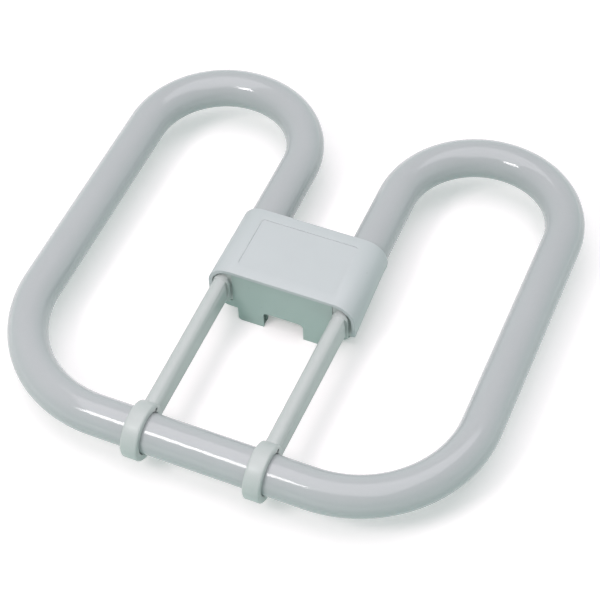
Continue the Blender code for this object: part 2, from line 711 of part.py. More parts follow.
def base_body(parts, tools, plastic):
    """The lower moulding: a tray with the front wall, the feet, the bays and the seats inside."""
    body = prism("base_body", body_outline(0), "XZ", BODY_FRONT_Y, BASE_BACK_Y, parts)
    hollow = prism("body hollow", body_outline(BODY_WALL), "XZ", FRONT_WALL_IN_Y, BODY_BACK_WALL_Y, tools)
    cut(body, hollow)
    wall_span = (-BAY_IN_X, BAY_IN_X)
    wall_top = COVER_CEILING_Z - CLEARANCE
    wall_bottom = BODY_BOTTOM_Z + BODY_WALL / 2
    join(body, box("front wall", wall_span, (BODY_FRONT_Y, FRONT_WALL_IN_Y), (wall_bottom, wall_top), tools))
    plate_span = (FRONT_WALL_IN_Y - PAST / 2, BODY_BACK_WALL_Y + PAST / 2)
    plate_bottom = BODY_BOTTOM_Z + SOCKET_DEPTH / 2
    join(body, box("pin plate", (-PLATE_HALF, PLATE_HALF), plate_span, (plate_bottom, PLATE_TOP_Z), tools))
    leg_troughs(body, tools)
    body_bays(body, tools)
    body_cradles(body, tools)
    body_feet(body, tools)
    for side_name, side in (("left", -1), ("right", 1)):
        centre = (side * PIN_X, SOCKET_Y, (SOCKET_Z + PLATE_TOP_Z) / 2)
        hole_r = PIN_DIAMETER / 2 + CLEARANCE
        cut(body, cylinder(f"pin hole {side_name}", "Z", hole_r, 6 * BODY_WALL, centre, tools, 20))
    finish(body, plastic)


def arm_section(x, y, half, bottom_z, proud=0.0):
    """The arm's outline at one place along it: flat sides under a half-round top."""
    centre_z = TUBE_Z + ARM_TOP_RISE + proud - half
    top = arc((x, centre_z), half, 0, math.pi, 12)
    outline = [(x + half, bottom_z)] + top + [(x - half, bottom_z)]
    return [(across, y, up) for across, up in outline]


def clip_section(x, angle, inner_r, outer_r):
    """The clip's rounded band at one angle round the tube, in the plane through the tube's line."""
    half = CLIP_WIDTH / 2
    big = CLIP_ROUND
    small = CLIP_INNER_ROUND
    band = (
        arc((half - big, outer_r - big), big, 0, math.pi / 2, 3)
        + arc((-half + big, outer_r - big), big, math.pi / 2, math.pi, 3)
        + [(-half, inner_r + small), (-half + small, inner_r)]
        + [(half - small, inner_r), (half, inner_r + small)]
    )
    return [
        (x + across, RUN_Y + radius * math.cos(angle), TUBE_Z + radius * math.sin(angle))
        for across, radius in band
    ]


def clip_sections(x):
    """The clip round the tube from its rear end to its free end, which turns out into a lead-in lip."""
    steps = round((CLIP_END - CLIP_START) / math.radians(9))
    turn = (CLIP_END - CLIP_START) / steps
    sections = [clip_section(x, CLIP_START + turn * k, TUBE_BORE_R, CLIP_OUTER_R) for k in range(steps + 1)]
    for k in (1, 2):
        rise = CLIP_LIP * (k / 2) ** 2
        angle = CLIP_END + math.radians(4) * k
        sections.append(clip_section(x, angle, TUBE_BORE_R + rise, CLIP_OUTER_R + rise / 2))
    return sections


def support_arm(side_name, side, parts, tools, plastic):
    """An arm with its clip and its tongue, in one moulding that is hollow along the underside."""
    root_x = side * ARM_ROOT_X
    clip_x = side * ARM_CLIP_X
    half = ARM_WIDTH / 2
    arm_end_y = RUN_Y + TUBE_R / 2
    arm = loft(
        f"support_arm_{side_name}",
        [
            arm_section(root_x, TONGUE_FRONT_Y + PAST / 2, half, TUBE_Z - ARM_ROOT_DROP),
            arm_section(clip_x, arm_end_y, half, TUBE_Z - ARM_CLIP_DROP),
        ],
        parts,
    )
    neck_front_y = TONGUE_FRONT_Y - ROOT_NECK_LENGTH
    flange_front_y = neck_front_y - ROOT_FLANGE_THICKNESS
    groove_front_y = flange_front_y - ROOT_GROOVE_LENGTH
    hollow_half = half - ARM_WALL
    hollow_end_y = RUN_Y + CLIP_OUTER_R + ARM_WALL
    hollow_top_z = TUBE_Z + ARM_TOP_RISE - half
    hollow = loft(
        f"arm hollow {side_name}",
        [
            hollow_section(root_x, groove_front_y - ARM_WALL, hollow_half, hollow_top_z),
            hollow_section(clip_x, hollow_end_y, hollow_half, hollow_top_z),
        ],
        tools,
    )
    cut(arm, hollow)
    bore_length = CLIP_WIDTH + ARM_WIDTH
    bore_centre = (clip_x, RUN_Y, TUBE_Z)
    bore = cylinder(f"clip bore {side_name}", "X", TUBE_BORE_R, bore_length, bore_centre, tools, 40)
    cut(arm, bore)
    for flank_name, flank in (("near", -1), ("far", 1)):
        x_span = sorted((root_x + flank * (half - ROOT_GROOVE_DEPTH), root_x + flank * (half + PAST)))
        z_span = (TUBE_Z - ARM_ROOT_DROP - PAST, TUBE_Z + ARM_TOP_RISE + PAST)
        neck_span = (neck_front_y, TONGUE_FRONT_Y)
        groove_span = (groove_front_y, flange_front_y)
        cut(arm, box(f"arm neck {side_name} {flank_name}", x_span, neck_span, z_span, tools))
        cut(arm, box(f"arm groove {side_name} {flank_name}", x_span, groove_span, z_span, tools))
    flange_half = half + ROOT_FLANGE_PROUD
    flange_bottom = TUBE_Z - ROOT_FLANGE_DROP
    flange_rings = [
        arm_section(root_x, flange_front_y, flange_half, flange_bottom, ROOT_FLANGE_PROUD),
        arm_section(root_x, neck_front_y, flange_half, flange_bottom, ROOT_FLANGE_PROUD),
    ]
    join(arm, loft(f"arm flange {side_name}", flange_rings, tools))
    join(arm, loft(f"clip {side_name}", clip_sections(clip_x), tools))
    tongue_half = TONGUE_WIDTH / 2
    tongue_rings = [
        arm_section(root_x, TONGUE_FRONT_Y, tongue_half, TONGUE_BOTTOM_Z),
        arm_section(root_x, TONGUE_BACK_Y, tongue_half, TONGUE_BOTTOM_Z),
    ]
    join(arm, loft(f"tongue {side_name}", tongue_rings, tools))
    lug_front = FRONT_WALL_IN_Y + CLEARANCE
    lug_in_x = ARM_ROOT_X - tongue_half
    lug_span = sorted((side * lug_in_x, side * (lug_in_x + LUG_WIDTH)))
    lug_bottom = body_floor_at(lug_in_x + LUG_WIDTH) + CLEARANCE
    lug_y_span = (lug_front, lug_front + LUG_LENGTH)
    join(arm, box(f"lug {side_name}", lug_span, lug_y_span, (lug_bottom, TONGUE_BOTTOM_Z + PAST), tools))
    pocket_r = TUBE_BORE_R + CLIP_POCKET_RADIUS / 2
    pocket_centre = (
        clip_x,
        RUN_Y + pocket_r * math.cos(CLIP_POCKET_ANGLE),
        TUBE_Z + pocket_r * math.sin(CLIP_POCKET_ANGLE),
    )
    pocket_name = f"clip pocket {side_name}"
    cut(arm, cylinder(pocket_name, "X", CLIP_POCKET_RADIUS, bore_length, pocket_centre, tools, 12))
    finish(arm, plastic)


def hollow_section(x, y, half, top_z):
    """The outline of the arm's underside channel at one place along it."""
    bottom_z = TUBE_Z - max(ARM_ROOT_DROP, ARM_CLIP_DROP) - PAST
    top = arc((x, top_z), half, 0, math.pi, 8)
    outline = [(x + half, bottom_z)] + top + [(x - half, bottom_z)]
    return [(across, y, up) for across, up in outline]


def turned(name, profile, sides, collection):
    """A turned solid about Z from a profile of radius and height that runs from top to bottom."""
    mesh = bpy.data.meshes.new(name)
    steps = [(k, k + 1) for k in range(len(profile) - 1)]
    mesh.from_pydata([(radius, 0, z) for radius, z in profile], steps, [])
    made = add_object(name, mesh, collection)
    screw = made.modifiers.new("Turn", "SCREW")
    screw.steps = sides
    screw.render_steps = sides
    screw.use_merge_vertices = True
    screw.merge_threshold = 1e-6
    return made


def contact_pin(side_name, side, parts, brass):
    """A turned brass pin: wire cup, head on the pin plate, shank through it, swaged collar, round tip."""
    shank = PIN_DIAMETER / 2
    head = PIN_HEAD_DIAMETER / 2
    collar = PIN_COLLAR_DIAMETER / 2
    tip_z = SOCKET_Z - PIN_LENGTH
    head_top = PIN_HEAD_Z + PIN_HEAD_HEIGHT
    collar_top = SOCKET_Z - CLEARANCE
    tip = arc((0, tip_z + shank), shank, 0, -math.pi / 2, 4)
    profile = [
        (0, PIN_TOP_Z),
        (shank, PIN_TOP_Z),
        (shank, head_top),
        (head, head_top),
        (head, PIN_HEAD_Z),
        (shank, PIN_HEAD_Z),
        (shank, collar_top),
        (collar, collar_top),
        (collar, collar_top - PIN_COLLAR_HEIGHT),
        (shank, collar_top - PIN_COLLAR_HEIGHT),
        *tip[:-1],
        (0, tip_z),
    ]
    pin = turned(f"contact_pin_{side_name}", profile, 16, parts)
    pin.location = (side * PIN_X, SOCKET_Y, 0)
    finish(pin, brass)


def starter_bulb(parts, glass):
    """The glow starter: a glass capsule with a domed end and a narrower sealed end."""
    radius = STARTER_DIAMETER / 2
    neck_r = radius * 0.5
    body_length = STARTER_LENGTH - STARTER_NECK
    dome = arc((0, body_length - radius), radius, math.pi / 2, 0, 6)
    shoulder = arc((neck_r, neck_r), neck_r, 0, -math.pi / 2, 4)
    neck = [(neck_r, 0), (neck_r * 0.8, -STARTER_NECK), (0, -STARTER_NECK)]
    profile = [(0, body_length)] + dome[1:] + shoulder[:-1] + neck
    bulb = turned("starter_bulb", profile, 20, parts)
    bulb.rotation_euler = (0, math.pi / 2, 0)
    bulb.location = (STARTER_NECK - STARTER_LENGTH / 2, STARTER_Y, STARTER_Z)
    finish(bulb, glass)


def capacitor(parts, dipped):
    """The suppression capacitor: a dipped block with round edges."""
    half = (CAPACITOR_LENGTH / 2, CAPACITOR_WIDTH / 2, CAPACITOR_HEIGHT / 2)
    block = box(
        "capacitor",
        (-half[0], half[0]),
        (CAPACITOR_Y - half[1], CAPACITOR_Y + half[1]),
        (CAPACITOR_Z - half[2], CAPACITOR_Z + half[2]),
        parts,
    )
    round_edges(block, CAPACITOR_ROUND, 3)
    finish(block, dipped)


def cement_pad(side_name, side, parts, cement):
    """The pad of basing cement under a tube leg: part of a ring that fills its seat."""
    outline = cement_outline(side, 0, CEMENT_SPREAD / 2)
    pad = prism(f"tube_cement_{side_name}", outline, "XZ", CEMENT_FRONT_Y, CEMENT_BACK_Y, parts)
    finish(pad, cement)


def crimp(side_name, side, parts, metal):
    """The sleeve that joins the wires of one side."""
    centre = (side * CRIMP_X, (CRIMP_BACK_Y + CRIMP_FRONT_Y) / 2, CRIMP_Z)
    finish(cylinder(f"crimp_{side_name}", "Y", CRIMP_DIAMETER / 2, CRIMP_LENGTH, centre, parts, 16), metal)


def tube_wires(side_name, side, parts, sleeve):
    """The two sleeved wires of one tube end: one to the pin below, one to the crimp."""
    start_y = TUBE_END_Y - CLEARANCE
    spread = TUBE_WIRE_SPACING / 2
    inner_x = LEG_X - spread
    outer_x = LEG_X + spread
    pin_end = (PIN_X, SOCKET_Y, PIN_TOP_Z + CLEARANCE)
    to_pin = [
        (inner_x, start_y, TUBE_Z),
        (inner_x - 0.0003, start_y - 0.0014, TUBE_Z - 0.0001),
        (inner_x - 0.0045, SOCKET_Y + 0.0001, TUBE_Z - 0.0012),
        (PIN_X + 0.0050, SOCKET_Y, TUBE_Z - 0.0022),
        (PIN_X + 0.0009, SOCKET_Y, PIN_TOP_Z + 0.0026),
        pin_end,
    ]
    crimp_x = CRIMP_X + CRIMP_DIAMETER / 4
    crimp_end = (crimp_x, CRIMP_BACK_Y + CLEARANCE, CRIMP_Z)
    to_crimp = [
        (outer_x, start_y, TUBE_Z),
        (outer_x - 0.0002, start_y - 0.0012, TUBE_Z + 0.0004),
        (outer_x - 0.0040, CRIMP_BACK_Y + 0.0014, CRIMP_Z - 0.0002),
        (crimp_x + 0.0030, CRIMP_BACK_Y + 0.0020, CRIMP_Z + 0.0002),
        (crimp_x + 0.0003, CRIMP_BACK_Y + 0.0012, CRIMP_Z),
        crimp_end,
    ]
    for name, corners in ((f"pin_wire_{side_name}", to_pin), (f"starting_wire_{side_name}", to_crimp)):
        mirrored = [(side * x, y, z) for x, y, z in corners]
        finish(swept_wire(name, eased_route(mirrored), SLEEVE_DIAMETER, parts), sleeve)


def component_wires(parts, copper):
    """The bare wires from the starter and from the capacitor to the two crimps."""
    seal_x = -STARTER_LENGTH / 2 - CLEARANCE
    seal_gap = STARTER_DIAMETER * 0.13
    front_end = CRIMP_FRONT_Y - CLEARANCE
    over_z = STARTER_Z + STARTER_DIAMETER / 2 + WIRE_DIAMETER / 2 + CLEARANCE
    starter_left = [
        (seal_x, STARTER_Y + seal_gap, STARTER_Z),
        (seal_x - 0.0014, STARTER_Y + seal_gap + 0.0004, STARTER_Z + 0.0006),
        (-CRIMP_X, front_end - 0.0022, CRIMP_Z - 0.0018),
        (-CRIMP_X, front_end - 0.0006, CRIMP_Z),
        (-CRIMP_X, front_end, CRIMP_Z),
    ]
    starter_right = [
        (seal_x, STARTER_Y - seal_gap, STARTER_Z),
        (seal_x - 0.0012, STARTER_Y - seal_gap - 0.0002, STARTER_Z + 0.0008),
        (seal_x - 0.0004, STARTER_Y - seal_gap, over_z + 0.0006),
        (0, STARTER_Y + 0.0002, over_z + 0.0003),
        (CRIMP_X - 0.0030, STARTER_Y + 0.0020, over_z + 0.0006),
        (CRIMP_X, front_end - 0.0012, CRIMP_Z),
        (CRIMP_X, front_end, CRIMP_Z),
    ]
    finish(swept_wire("starter_wire_left", eased_route(starter_left), WIRE_DIAMETER, parts), copper)
    finish(swept_wire("starter_wire_right", eased_route(starter_right), WIRE_DIAMETER, parts), copper)
    capacitor_face = CAPACITOR_Y - CAPACITOR_WIDTH / 2 - CLEARANCE
    crimp_x = CRIMP_X - CRIMP_DIAMETER / 4
    for side_name, side in (("left", -1), ("right", 1)):
        start_x = CAPACITOR_WIRE_SPACING / 2
        corners = [
            (start_x, capacitor_face, CAPACITOR_Z),
            (start_x + 0.0003, capacitor_face - 0.0014, CAPACITOR_Z + 0.0004),
            ((start_x + crimp_x) / 2, CRIMP_BACK_Y + 0.0016, CRIMP_Z - 0.0020),
            (crimp_x, CRIMP_BACK_Y + 0.0016, CRIMP_Z),
            (crimp_x, CRIMP_BACK_Y + CLEARANCE, CRIMP_Z),
        ]
        mirrored = [(side * x, y, z) for x, y, z in corners]
        wire = swept_wire(f"capacitor_wire_{side_name}", eased_route(mirrored), WIRE_DIAMETER, parts)
        finish(wire, copper)


def build():
    """The whole lamp."""
    clear_scene()
    parts = new_collection("square_fluorescent_lamp")
    tools = new_collection("cutters")
    tools.hide_render = True
    coated_glass = new_material("coated_glass", (0.62, 0.65, 0.67), 0.12)
    white_plastic = new_material("white_plastic", (0.68, 0.71, 0.72), 0.42)
    brass = new_material("brass", (0.72, 0.55, 0.26), 0.30, 1.0)
    clear_glass = new_material("starter_glass", (0.72, 0.76, 0.76), 0.08)
    dipped = new_material("capacitor_dip", (0.55, 0.32, 0.10), 0.35)
    tin = new_material("tinned_metal", (0.66, 0.66, 0.65), 0.35, 1.0)
    sleeve = new_material("wire_sleeve", (0.70, 0.67, 0.58), 0.70)
    cement = new_material("cement", (0.60, 0.58, 0.52), 0.85)
    discharge_tube(parts, coated_glass)
    base_cover(parts, tools, white_plastic)
    base_body(parts, tools, white_plastic)
    starter_bulb(parts, clear_glass)
    capacitor(parts, dipped)
    component_wires(parts, tin)
    for side_name, side in (("left", -1), ("right", 1)):
        support_arm(side_name, side, parts, tools, white_plastic)
        contact_pin(side_name, side, parts, brass)
        crimp(side_name, side, parts, tin)
        tube_wires(side_name, side, parts, sleeve)
        cement_pad(side_name, side, parts, cement)


build()
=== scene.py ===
# %% [markdown]
# # A square compact fluorescent lamp, dressed for its photograph
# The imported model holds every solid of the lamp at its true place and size, in metres.
# This lesson loads it as a fixed frame and builds the finished surfaces round it: the bent glass
# tube, the moulded base with its two arms, and the small parts inside. A cell of words comes before
# each step, and each code cell prints what it made, so the cells can be run one after another.

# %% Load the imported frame
import math

import bmesh
import bpy
from mathutils import Matrix, Vector


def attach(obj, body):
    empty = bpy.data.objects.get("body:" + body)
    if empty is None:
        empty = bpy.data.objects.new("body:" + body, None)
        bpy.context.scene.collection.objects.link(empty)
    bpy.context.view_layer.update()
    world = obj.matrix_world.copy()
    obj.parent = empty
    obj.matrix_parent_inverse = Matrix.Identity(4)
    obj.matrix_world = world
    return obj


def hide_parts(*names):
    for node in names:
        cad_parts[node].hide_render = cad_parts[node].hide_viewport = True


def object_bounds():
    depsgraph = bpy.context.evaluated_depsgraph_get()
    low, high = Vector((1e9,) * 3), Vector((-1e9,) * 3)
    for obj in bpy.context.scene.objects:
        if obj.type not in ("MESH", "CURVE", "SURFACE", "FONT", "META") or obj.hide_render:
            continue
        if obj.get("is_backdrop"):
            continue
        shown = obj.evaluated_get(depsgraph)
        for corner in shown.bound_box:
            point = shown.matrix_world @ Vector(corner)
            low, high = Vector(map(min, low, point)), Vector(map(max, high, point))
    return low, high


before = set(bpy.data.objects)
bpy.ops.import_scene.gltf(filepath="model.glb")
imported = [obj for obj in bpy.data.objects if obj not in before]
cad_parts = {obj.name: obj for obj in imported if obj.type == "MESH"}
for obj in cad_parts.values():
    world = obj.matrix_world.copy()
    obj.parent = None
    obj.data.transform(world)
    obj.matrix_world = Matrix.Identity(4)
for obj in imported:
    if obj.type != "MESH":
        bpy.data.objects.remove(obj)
cad_low, cad_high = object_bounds()
scene = bpy.context.scene
print("CAD nodes:", len(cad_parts), "size in mm:", [round(v * 1000, 1) for v in cad_high - cad_low])

# %% [markdown]
# ## The camera
# The camera was solved from the outline of the tube in the photograph: it stands to the right of the
# lamp, about 51 degrees above the table, and is rolled by 2.5 degrees. Its three directions are written
# out as vectors, because a solved camera is exact and an aimed one is not.

# %% Place the camera
IMAGE_SIDE = 600
FOCAL_PIXELS = 1764.04
SENSOR_WIDTH = 36.0
CAMERA_PLACE = (0.19346, -0.41144, 0.57214)
camera_right = Vector((0.92032584, 0.39017948, -0.02757384))
camera_down = Vector((0.28841532, -0.72453115, -0.62599618))
camera_ahead = Vector((-0.26422897, 0.56816775, -0.77933848))
camera_data = bpy.data.cameras.new("photo_camera")
camera_data.sensor_width = SENSOR_WIDTH
camera_data.lens = FOCAL_PIXELS / IMAGE_SIDE * SENSOR_WIDTH
camera = bpy.data.objects.new("photo_camera", camera_data)
turned = Matrix((camera_right, -camera_down, -camera_ahead)).transposed().to_4x4()
camera.matrix_world = Matrix.Translation(CAMERA_PLACE) @ turned
scene.collection.objects.link(camera)
scene.camera = camera
print("lens in mm:", round(camera_data.lens, 1))

# %% [markdown]
# ## Building node trees
# Materials and Geometry Nodes are both made of nodes and links. A few small helpers keep that short:
# one adds a node with its settings, one names the sockets of a group, and the others give the output
# of a mix of two colours, of a sum or product, and of a value stretched from one range to another.


# %% Helpers for nodes
def add_node(tree, kind, inputs=None, **settings):
    """A node of that kind, with its settings; each input is given a value or another node's output."""
    node = tree.nodes.new(kind)
    for name, value in settings.items():
        setattr(node, name, value)
    for name, value in (inputs or {}).items():
        if isinstance(value, bpy.types.NodeSocket):
            tree.links.new(value, node.inputs[name])
        else:
            node.inputs[name].default_value = value
    return node


def add_sockets(tree, direction, sockets):
    """Named sockets of a node group, each with its type and, for an input, its value."""
    for name, kind, value in sockets:
        socket = tree.interface.new_socket(name, in_out=direction, socket_type="NodeSocket" + kind)
        if value is not None:
            socket.default_value = value


def mix_colours(tree, factor, first, second):
    """The output of a Mix node that goes from the first colour to the second."""
    mix = add_node(tree, "ShaderNodeMix", {0: factor, 6: first, 7: second}, data_type="RGBA")
    return mix.outputs[2]


def maths(tree, operation, *values):
    """The output of a Math node."""
    return add_node(tree, "ShaderNodeMath", dict(enumerate(values)), operation=operation).outputs[0]


def stretch(tree, value, start, end, low, high):
    """The output of a Map Range node: low at the start of the value's range and high at its end."""
    inputs = {0: value, 1: start, 2: end, 3: low, 4: high}
    return add_node(tree, "ShaderNodeMapRange", inputs).outputs[0]


def object_place(tree):
    """The Object coordinates, which keep a pattern fixed to its piece."""
    return tree.nodes.new("ShaderNodeTexCoord").outputs["Object"]


def new_finish(name, **plain):
    """A material and its Principled shader, with the values that are the same all over."""
    finish = bpy.data.materials.new(name)
    finish.use_nodes = True
    shader = finish.node_tree.nodes["Principled BSDF"]
    for socket, value in plain.items():
        shader.inputs[socket.replace("_", " ")].default_value = value
    return finish, finish.node_tree, shader


print("node helpers are ready")

# %% [markdown]
# ## The stage
# The lamp lies on white paper that runs out to pure white, with only a soft grey shadow round it.
# One could light the paper until it clips, but the lamp would clip with it. So the paper adds a little
# light of its own where the camera or a reflection looks at it, more of it away from the lamp, and is
# a duller, greener grey for the light that bounces off it onto the lamp, as the shaded sides show.

# %% Lay the paper
PAPER_SIZE = 6.0
PAPER_SEEN = (1.0, 0.910, 0.925, 1.0)
PAPER_BOUNCE = (0.475, 0.675, 0.613, 1.0)
PAPER_GLOW = 0.255
GLOW_FROM = 0.22
GLOW_TO = 0.60
WHITE = (1.0, 1.0, 1.0, 1.0)
half = PAPER_SIZE / 2
corners = [(-half, -half, 0), (half, -half, 0), (half, half, 0), (-half, half, 0)]
paper_mesh = bpy.data.meshes.new("paper")
paper_mesh.from_pydata(corners, [], [(0, 1, 2, 3)])
paper = bpy.data.objects.new("paper", paper_mesh)
scene.collection.objects.link(paper)
finish, tree, shader = new_finish("paper", Roughness=0.9, Specular_IOR_Level=0.1)
path = add_node(tree, "ShaderNodeLightPath")
seen = maths(tree, "MAXIMUM", path.outputs["Is Camera Ray"], path.outputs["Is Glossy Ray"])
seen = maths(tree, "MAXIMUM", seen, path.outputs["Is Transmission Ray"])
tree.links.new(mix_colours(tree, seen, PAPER_BOUNCE, PAPER_SEEN), shader.inputs["Base Color"])
away = add_node(tree, "ShaderNodeVectorMath", {0: object_place(tree)}, operation="LENGTH")
glow = stretch(tree, away.outputs["Value"], GLOW_FROM, GLOW_TO, PAPER_GLOW, 1.0)
tree.links.new(maths(tree, "MULTIPLY", seen, glow), shader.inputs["Emission Strength"])
shader.inputs["Emission Color"].default_value = WHITE
paper_mesh.materials.append(finish)
paper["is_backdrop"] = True
print("paper side in m:", PAPER_SIZE)

# %% [markdown]
# ## The light
# A sharp bright line runs along the front of the tube, and short glints sit on its far bends. Where a
# line like that lies tells where the light stands: the line of sight, mirrored at the glass, ends at
# it. It is a small soft box in front of the lamp, to the left and above. Above that line the glass is
# brighter than below it, so a wide box hangs overhead, and its front edge shows in the glass.

# %% Hang the lights
KEY_PLACE = (-0.30, -0.56, 0.79)
KEY_AIM = (0.0, 0.0, 0.02)
CEILING_PLACE = (0.02, -0.05, 1.30)
CEILING_AIM = (0.02, -0.05, 0.0)
scene.view_settings.view_transform = "Standard"


def soft_box(name, place, aim, width, depth, brightness, colour):
    """A rectangular light of a given brightness, at a place, that faces a point."""
    data = bpy.data.lights.new(name, "AREA")
    data.shape = "RECTANGLE"
    data.size, data.size_y = width, depth
    data.color = colour
    data.energy = brightness * math.pi * width * depth
    light = bpy.data.objects.new(name, data)
    light.location = place
    light.rotation_euler = (Vector(aim) - Vector(place)).to_track_quat("-Z", "Y").to_euler()
    scene.collection.objects.link(light)
    print(name, "W:", round(data.energy, 2))


soft_box("key_box", KEY_PLACE, KEY_AIM, 0.30, 0.20, 14.0, (1.0, 0.97, 0.97))
soft_box("ceiling_box", CEILING_PLACE, CEILING_AIM, 1.3, 1.55, 1.95, (1.0, 0.965, 1.01))

# %% [markdown]
# The rest is the room: pale walls all round, darker towards the photographer and overhead. They keep
# the shaded sides a clear grey. The camera sees pure white instead of them.

# %% Light the room
ROOM_LOW = 0.25
ROOM_HIGH = 0.95
ROOM_COLOUR = (0.80, 1.0, 0.95, 1.0)
WALL_TOP = 0.8
FRONT_DIM = 0.45
surround = bpy.data.worlds.new("surround")
scene.world = surround
surround.use_nodes = True
tree = surround.node_tree
back = tree.nodes["Background"]
camera_ray = add_node(tree, "ShaderNodeLightPath").outputs["Is Camera Ray"]
direction = add_node(tree, "ShaderNodeSeparateXYZ", {"Vector": object_place(tree)})
near_horizon = stretch(tree, direction.outputs["Z"], 0.0, WALL_TOP, 1.0, 0.0)
beyond = stretch(tree, direction.outputs["Y"], -0.7, 0.1, FRONT_DIM, 1.0)
walls = maths(tree, "MULTIPLY", near_horizon, beyond)
room = stretch(tree, walls, 0.0, 1.0, ROOM_LOW, ROOM_HIGH)
tree.links.new(mix_colours(tree, camera_ray, ROOM_COLOUR, WHITE), back.inputs["Color"])
tree.links.new(maths(tree, "MAXIMUM", room, camera_ray), back.inputs["Strength"])
print("surround is lit from", ROOM_LOW, "to", ROOM_HIGH)

# %% [markdown]
# ## Shared surface effects
# Two effects return on several finishes. Moulded plastic takes the fine spark-eroded grain of its
# steel mould, with a slight cloudiness where the melt cooled at different rates. And everything that
# has lain on a shelf carries a few specks of dust. Each effect is a node group with named inputs, so
# each finish can set its own size and strength.

# %% The grain of a mould
moulded = bpy.data.node_groups.new("moulded_grain", "ShaderNodeTree")
grain_inputs = [("Grain size", "Float", 4500.0), ("Cloud size", "Float", 60.0), ("Vector", "Vector", None)]
add_sockets(moulded, "INPUT", grain_inputs)
add_sockets(moulded, "OUTPUT", [("Cloud", "Float", None), ("Grain", "Float", None)])
ends_in = moulded.nodes.new("NodeGroupInput").outputs
ends_out = moulded.nodes.new("NodeGroupOutput").inputs
inputs = {"Vector": ends_in["Vector"], "Scale": ends_in["Grain size"], "Detail": 3.0, "Roughness": 0.6}
grain = add_node(moulded, "ShaderNodeTexNoise", inputs)
inputs = {"Vector": ends_in["Vector"], "Scale": ends_in["Cloud size"], "Detail": 2.0, "Distortion": 0.6}
cloud = add_node(moulded, "ShaderNodeTexNoise", inputs)
moulded.links.new(cloud.outputs["Fac"], ends_out["Cloud"])
moulded.links.new(grain.outputs["Fac"], ends_out["Grain"])
print("group", moulded.name)

# %% Specks of dust
dusty = bpy.data.node_groups.new("dust_specks", "ShaderNodeTree")
speck_inputs = [("Spacing", "Float", 160.0), ("Speck size", "Float", 0.045), ("Share", "Float", 0.15)]
add_sockets(dusty, "INPUT", [*speck_inputs, ("Vector", "Vector", None)])
add_sockets(dusty, "OUTPUT", [("Mask", "Float", None)])
ends_in = dusty.nodes.new("NodeGroupInput").outputs
ends_out = dusty.nodes.new("NodeGroupOutput").inputs
inputs = {"Vector": ends_in["Vector"], "Scale": ends_in["Spacing"]}
cells = add_node(dusty, "ShaderNodeTexVoronoi", inputs)
near = maths(dusty, "LESS_THAN", cells.outputs["Distance"], ends_in["Speck size"])
pick = add_node(dusty, "ShaderNodeSeparateColor", {"Color": cells.outputs["Color"]})
some = maths(dusty, "LESS_THAN", pick.outputs["Red"], ends_in["Share"])
dusty.links.new(maths(dusty, "MULTIPLY", near, some), ends_out["Mask"])
print("group", dusty.name)

# %% [markdown]
# ## The finishes
# Plastic first: a cool white moulding, satin rather than glossy. The colour drifts a little with the
# cloudiness, the gloss with the grain, and a bump node gives the grain its fine relief.


# %% White moulded plastic
def use_group(tree, group, inputs):
    """Puts a group into a material, reads Object coordinates, and sets its own values."""
    node = tree.nodes.new("ShaderNodeGroup")
    node.node_tree = group
    tree.links.new(object_place(tree), node.inputs["Vector"])
    for name, value in inputs.items():
        node.inputs[name].default_value = value
    return node.outputs


def paint(tree, shader, factor, first, second):
    """Links a mix of two colours to the shader's Base Color."""
    tree.links.new(mix_colours(tree, factor, first, second), shader.inputs["Base Color"])


def relief(tree, shader, height, strength, depth):
    """Links a height to the shader's Normal through a Bump node."""
    bump = add_node(tree, "ShaderNodeBump", {"Strength": strength, "Distance": depth, "Height": height})
    tree.links.new(bump.outputs["Normal"], shader.inputs["Normal"])


def vary_gloss(tree, shader, factor, low, high):
    """Links a roughness that runs from low to high with the factor."""
    tree.links.new(stretch(tree, factor, 0.3, 0.7, low, high), shader.inputs["Roughness"])


def plastic_finish(name, dull, bright, grain_size, gloss):
    """A moulded white plastic between two close colours."""
    finish, tree, shader = new_finish(name, IOR=1.49)
    skin = use_group(tree, moulded, {"Grain size": grain_size, "Cloud size": 55.0})
    specks = use_group(tree, dusty, {"Spacing": 210.0, "Speck size": 0.05, "Share": 0.06})
    clean = mix_colours(tree, skin["Cloud"], dull, bright)
    paint(tree, shader, maths(tree, "MULTIPLY", specks["Mask"], 0.5), clean, (0.30, 0.33, 0.31, 1.0))
    vary_gloss(tree, shader, skin["Grain"], gloss - 0.05, gloss + 0.07)
    relief(tree, shader, skin["Grain"], 0.35, 0.00003)
    return finish


PLASTICS = {
    "cover_plastic": ((0.577, 0.583, 0.600, 1.0), (0.609, 0.615, 0.632, 1.0), 4200.0, 0.40),
    # Painted shade: the body's colours are darker and greener than the cover's, for its shaded front wall
    "body_plastic_painted_shade": ((0.465, 0.534, 0.513, 1.0), (0.493, 0.562, 0.541, 1.0), 4200.0, 0.44),
    "arm_plastic": ((0.560, 0.565, 0.562, 1.0), (0.592, 0.597, 0.594, 1.0), 5200.0, 0.36),
}
cover_plastic, body_plastic_painted_shade, arm_plastic = [plastic_finish(name, *look) for name, look in PLASTICS.items()]
print("plastics:", list(PLASTICS))

# %% [markdown]
# The tube is clear glass with a white powder on its inner wall. The eye sees a matt, slightly mottled
# white under a mirror-like skin. One Principled shader does both: its base colour is the powder, and
# its low roughness and the index of glass are the skin. Drawn and bent glass is never quite even, so a
# slow ripple moves the reflections a little, and a few pinholes in the powder show as dark specks.


# %% Coated glass
def noise(tree, scale, detail, roughness=0.5, distortion=0.0):
    """The output of a noise texture that reads Object coordinates."""
    inputs = {"Scale": scale, "Detail": detail, "Roughness": roughness, "Distortion": distortion}
    return add_node(tree, "ShaderNodeTexNoise", {"Vector": object_place(tree), **inputs}).outputs["Fac"]


